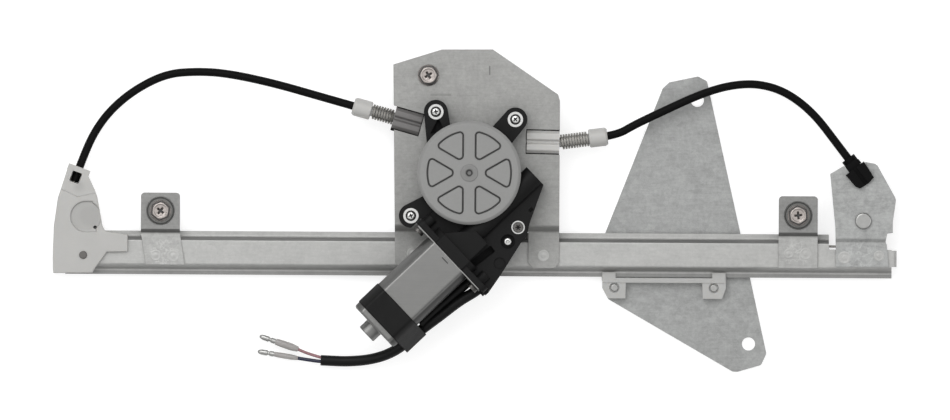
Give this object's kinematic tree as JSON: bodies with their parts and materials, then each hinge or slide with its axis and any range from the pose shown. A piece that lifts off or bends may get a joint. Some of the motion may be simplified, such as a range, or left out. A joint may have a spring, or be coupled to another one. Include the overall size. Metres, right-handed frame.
{
  "type": "window regulator",
  "caption": "Cable window regulator: guide rail with a sliding glass carrier, sheathed cables over an end guide and a pulley, and a worm-drive motor with a cable drum on a folded plate.",
  "frame": {"origin": "middle of the footprint, on the plane of the glass carrier's back", "axes": "+X along the guide rail from the moulded guide to the cable pulley, +Y across it towards the top of the motor plate, +Z out of the face that carries the motor, away from the glass"},
  "size_m": [0.5401, 0.2054, 0.052],
  "materials": {
    "galvanised_steel": "galvanised, satin",
    "zinc_steel": "zinc plated, bright",
    "bright_steel": "polished",
    "dark_washer": "dark",
    "cable_steel": "stranded",
    "spring_steel": "drawn",
    "black_plastic": "fine texture",
    "sheath_plastic": "smooth",
    "white_nylon": "satin",
    "brown_plastic": "satin",
    "drum_plastic": "satin",
    "cover_grey": "satin",
    "can_steel": "zinc plated",
    "black_tape": "matt",
    "magnet": "sintered",
    "core_steel": "laminated",
    "copper": "enamelled",
    "carbon": "matt",
    "bronze": "sintered",
    "damper_rubber": "matt",
    "upper_lead": "satin",
    "lower_lead": "satin",
    "sleeve_rubber": "satin",
    "boot_plastic": "translucent",
    "terminal_brass": "tin plated"
  },
  "bodies": {
    "regulator": {"guide_rail": "galvanised_steel", "left_end_housing": "white_nylon", "housing_rivet": "zinc_steel", "left_mount_bracket": "galvanised_steel", "right_mount_bracket": "galvanised_steel", "motor_plate": "galvanised_steel", "pulley_bracket": "galvanised_steel", "mount_bolts": "zinc_steel", "bolt_washers": "dark_washer", "weld_nuts": "zinc_steel", "pulley_rivet": "zinc_steel", "conduit_fitting": "black_plastic", "left_cable": "cable_steel", "right_cable": "cable_steel", "left_conduit": "sheath_plastic", "right_conduit": "sheath_plastic", "left_ferrule": "brown_plastic", "right_ferrule": "white_nylon", "left_spring": "spring_steel", "right_spring": "spring_steel", "left_spring_cap": "white_nylon", "right_spring_cap": "white_nylon", "drum_housing": "black_plastic", "motor_can": "can_steel", "can_screws": "bright_steel", "tape_wrap": "black_tape", "magnets": "magnet", "shaft_bearings": "bronze", "brush_card": "black_plastic", "brushes": "carbon", "gearbox_housing": "black_plastic", "gear_cover": "cover_grey", "screw_sleeves": "bright_steel", "motor_screws": "bright_steel", "housing_screws": "bright_steel", "lead_grommet": "damper_rubber", "lead_sleeve": "sleeve_rubber", "upper_wire": "upper_lead", "lower_wire": "lower_lead", "terminal_boots": "boot_plastic", "wire_terminals": "terminal_brass"},
    "carrier": {"carrier_plate": "galvanised_steel", "slider_shoe": "black_plastic", "slider_rivets": "bright_steel", "cable_nipples": "bright_steel"},
    "drum": {"cable_drum": "drum_plastic", "drum_windings": "cable_steel", "output_shaft": "bright_steel", "rubber_damper": "damper_rubber", "worm_wheel": "drum_plastic"},
    "armature": {"armature_shaft": "bright_steel", "rotor_core": "core_steel", "rotor_windings": "copper", "commutator": "copper"},
    "pulley": {"end_pulley": "white_nylon"}
  },
  "joints": [
    {"name": "armature_spin", "type": "hinge", "parent": "regulator", "child": "armature", "pos_m": [0.01673, 0.00224, 0.038], "axis": [0.7225, 0.6914, 0], "range_deg": [-9223, 42564]},
    {"name": "drum_spin", "type": "hinge", "parent": "regulator", "child": "drum", "pos_m": [-0.0038, 0.0237, 0.038], "axis": [0, 0, 1], "range_deg": [-818.6, 177.4]},
    {"name": "carrier_slide", "type": "slide", "parent": "regulator", "child": "carrier", "axis": [1, 0, 0], "range_m": [-0.3, 0.065]},
    {"name": "end_pulley_spin", "type": "hinge", "parent": "regulator", "child": "pulley", "pos_m": [0.2486, -0.0056, 0.009], "axis": [0, 0, 1], "range_deg": [-1048.2, 227.2]}
  ],
  "couplings": [
    {"joint": "armature_spin", "follows": "carrier_slide", "rad_per_m": -2476.2},
    {"joint": "drum_spin", "follows": "carrier_slide", "rad_per_m": 47.619},
    {"joint": "end_pulley_spin", "follows": "carrier_slide", "rad_per_m": 60.976}
  ]
}
